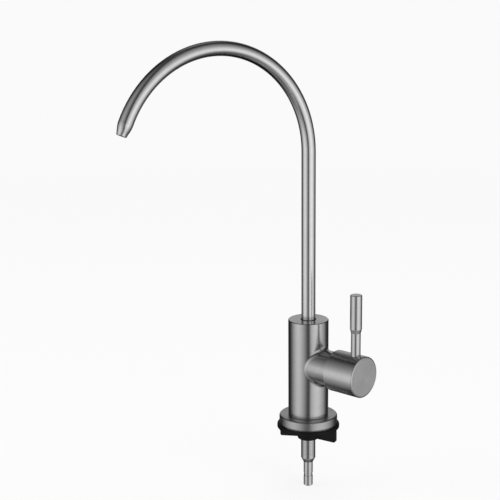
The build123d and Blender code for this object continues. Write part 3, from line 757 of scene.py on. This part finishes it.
class TAP_OT_stage(bpy.types.Operator):
    """Camera, pale floor, soft lamps and the soft panels that the metal mirrors"""

    bl_idname = "tap.stage"
    bl_label = "Stage"

    def execute(self, context):
        stage = context.scene.tap_stage
        self.camera(context, stage)
        self.floor(stage)
        self.world(context, stage)
        self.panels(stage)
        self.lamps()
        context.scene.view_settings.view_transform = "Standard"
        return {"FINISHED"}

    def camera(self, context, stage):
        deselect_all()
        bpy.ops.object.camera_add(location=stage.camera_place)
        camera = context.object
        yaw, pitch, roll = stage.camera_yaw, stage.camera_pitch, stage.camera_roll
        ahead = Vector((-math.sin(yaw) * math.cos(pitch), math.cos(yaw) * math.cos(pitch), -math.sin(pitch)))
        right = Vector((math.cos(yaw), math.sin(yaw), 0.0))
        up = right.cross(ahead)
        right, up = (math.cos(roll) * right + math.sin(roll) * up,
                     math.cos(roll) * up - math.sin(roll) * right)
        turn = Matrix((right, up, -ahead)).transposed()
        camera.rotation_euler = turn.to_euler()
        camera.data.sensor_width = 36.0
        camera.data.lens = stage.focal_pixels / IMAGE_WIDTH * camera.data.sensor_width
        camera.data.shift_x, camera.data.shift_y = stage.camera_shift
        camera.data.clip_start = 0.01
        context.scene.camera = camera

    def floor(self, stage):
        deselect_all()
        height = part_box("inlet_tail")[0].z - stage.floor_gap
        bpy.ops.mesh.primitive_plane_add(size=FLOOR_SIZE, location=(0, 0, height))
        floor = start_piece("floor")
        finish = Finish("Pale floor")
        finish.shader.inputs["Base Color"].default_value = (0.86, 0.86, 0.86, 1.0)
        finish.shader.inputs["Roughness"].default_value = 0.9
        finish.shader.inputs["Specular IOR Level"].default_value = 0.0
        far = finish.vector("LENGTH", place_on_piece(finish))
        brightness = finish.spread(far, stage.background * FLOOR_GLOW_NEAR, stage.background, FLOOR_FADE)
        glow = finish.node("ShaderNodeEmission", Strength=brightness)
        seen = finish.node("ShaderNodeLightPath").outputs["Is Camera Ray"]
        share = finish.maths("MULTIPLY", seen, finish.spread(far, FLOOR_GLOW_SHARE, 1.0, FLOOR_FADE))
        mix = finish.node("ShaderNodeMixShader", _0=share, _1=finish.shader.outputs[0],
                          _2=glow.outputs[0])
        finish.tree.links.new(mix.outputs[0], finish.tree.nodes["Material Output"].inputs[0])
        floor.data.materials.append(finish.material)
        floor.visible_glossy = False

    def world(self, context, stage):
        world = bpy.data.worlds.new("Pale studio")
        world.use_nodes = True
        context.scene.world = world
        nodes, links = world.node_tree.nodes, world.node_tree.links
        pale = nodes["Background"]
        pale.inputs["Color"].default_value = (stage.background,) * 3 + (1.0,)
        pale.inputs["Strength"].default_value = 1.0
        soft = nodes.new("ShaderNodeBackground")
        soft.inputs["Strength"].default_value = WORLD_FILL
        path = nodes.new("ShaderNodeLightPath")
        either = path.outputs["Is Camera Ray"]
        for other in ("Is Glossy Ray", "Is Transmission Ray"):
            most = nodes.new("ShaderNodeMath")
            most.operation = "MAXIMUM"
            links.new(either, most.inputs[0])
            links.new(path.outputs[other], most.inputs[1])
            either = most.outputs[0]
        mix = nodes.new("ShaderNodeMixShader")
        links.new(either, mix.inputs[0])
        links.new(soft.outputs[0], mix.inputs[1])
        links.new(pale.outputs[0], mix.inputs[2])
        links.new(mix.outputs[0], nodes["World Output"].inputs[0])

    def panels(self, stage):
        """A ring of soft panels and dark cards round the tap, which only the gloss sees."""
        deselect_all()
        bpy.ops.mesh.primitive_uv_sphere_add(segments=48, ring_count=24, radius=DOME_RADIUS)
        dome = start_piece("light_panels")
        finish = Finish("Light panels")
        mapping = finish.node("ShaderNodeMapping", Vector=place_on_piece(finish))
        camera_side = math.atan2(stage.camera_place[1], stage.camera_place[0])
        mapping.inputs["Rotation"].default_value = (0.0, 0.0, -camera_side)
        parts = finish.split(mapping.outputs[0])
        compass = finish.spread(finish.maths("ARCTAN2", parts[1], parts[0]), 0.0, 1.0, (-math.pi, math.pi))
        flat = finish.vector("LENGTH", finish.join(parts[0], parts[1]))
        height = finish.spread(finish.maths("ARCTAN2", parts[2], flat), 0.0, 1.0,
                               (-math.pi / 2, math.pi / 2))
        sides = finish.node("ShaderNodeValToRGB", Fac=compass)
        set_ramp(sides, [((angle + 180) / 360, value) for angle, value in SIDE_PANELS])
        levels = finish.node("ShaderNodeValToRGB", Fac=height)
        set_ramp(levels, [((angle + 90) / 180, value) for angle, value in PANEL_HEIGHTS])
        overhead = finish.node("ShaderNodeValToRGB", Fac=height)
        set_ramp(overhead, [((angle + 90) / 180, value) for angle, value in OVERHEAD])
        strength = finish.maths("ADD", finish.maths("MULTIPLY", sides.outputs[0], levels.outputs[0]),
                                overhead.outputs[0])
        for middle, half, level, half_height, light in MORE_PANELS:
            across = self.soft_edge(finish, compass, (middle + 180) / 360 % 1.0, half / 360, wrapped=True)
            upward = self.soft_edge(finish, height, (level + 90) / 180, half_height / 180)
            panel = finish.maths("MULTIPLY", finish.maths("MULTIPLY", across, upward), light)
            strength = finish.maths("ADD", strength, panel)
        glow = finish.node("ShaderNodeEmission", Strength=strength)
        finish.tree.links.new(glow.outputs[0], finish.tree.nodes["Material Output"].inputs[0])
        dome.data.materials.append(finish.material)
        dome.visible_camera = False
        dome.visible_diffuse = False
        dome.visible_shadow = False

    def soft_edge(self, finish, value, middle, half, wrapped=False):
        """One in the middle of a panel, falling softly to nothing at its edges."""
        gap = finish.maths("ABSOLUTE", finish.maths("SUBTRACT", value, middle))
        if wrapped:
            gap = finish.maths("MINIMUM", gap, finish.maths("SUBTRACT", 1.0, gap))
        fall = finish.node("ShaderNodeMapRange", Value=gap, From_Min=0.0, From_Max=half, To_Min=1.0,
                           To_Max=0.0)
        fall.interpolation_type = "SMOOTHSTEP"
        return fall.outputs[0]

    def lamps(self):
        for name, place, size, power in LAMPS:
            deselect_all()
            bpy.ops.object.light_add(type="AREA", location=place)
            lamp = bpy.context.object
            lamp.name = name
            lamp.data.size = size
            lamp.data.energy = power
            lamp.rotation_euler = (LAMP_AIM - Vector(place)).to_track_quat("-Z", "Y").to_euler()
            lamp.visible_glossy = False


class TAP_PT_panel(bpy.types.Panel):
    """Lists the tap's pieces, finishes and stage"""

    bl_idname = "TAP_PT_panel"
    bl_label = "Drinking Water Tap"
    bl_space_type = "VIEW_3D"
    bl_region_type = "UI"
    bl_category = "Tap"

    def draw(self, context):
        for operator in OPERATORS:
            self.layout.operator(operator.bl_idname)
        for group in (context.scene.tap_finish, context.scene.tap_shape, context.scene.tap_stage):
            for key in group.__annotations__:
                self.layout.prop(group, key)


OPERATORS = (TAP_OT_base_gasket, TAP_OT_wing_nut, TAP_OT_shank_thread, TAP_OT_finishes, TAP_OT_stage)
CLASSES = (TapFinish, TapShape, TapStage) + OPERATORS + (TAP_PT_panel,)


def register():
    for added in CLASSES:
        bpy.utils.register_class(added)
    bpy.types.Scene.tap_finish = bpy.props.PointerProperty(type=TapFinish)
    bpy.types.Scene.tap_shape = bpy.props.PointerProperty(type=TapShape)
    bpy.types.Scene.tap_stage = bpy.props.PointerProperty(type=TapStage)


def unregister():
    for key in ("tap_finish", "tap_shape", "tap_stage"):
        delattr(bpy.types.Scene, key)
    for added in reversed(CLASSES):
        bpy.utils.unregister_class(added)


def main():
    register()
    bpy.ops.tap.base_gasket()
    bpy.ops.tap.wing_nut()
    bpy.ops.tap.shank_thread()
    bpy.ops.tap.finishes()
    bpy.ops.tap.stage()


if __name__ == "__main__":
    main()
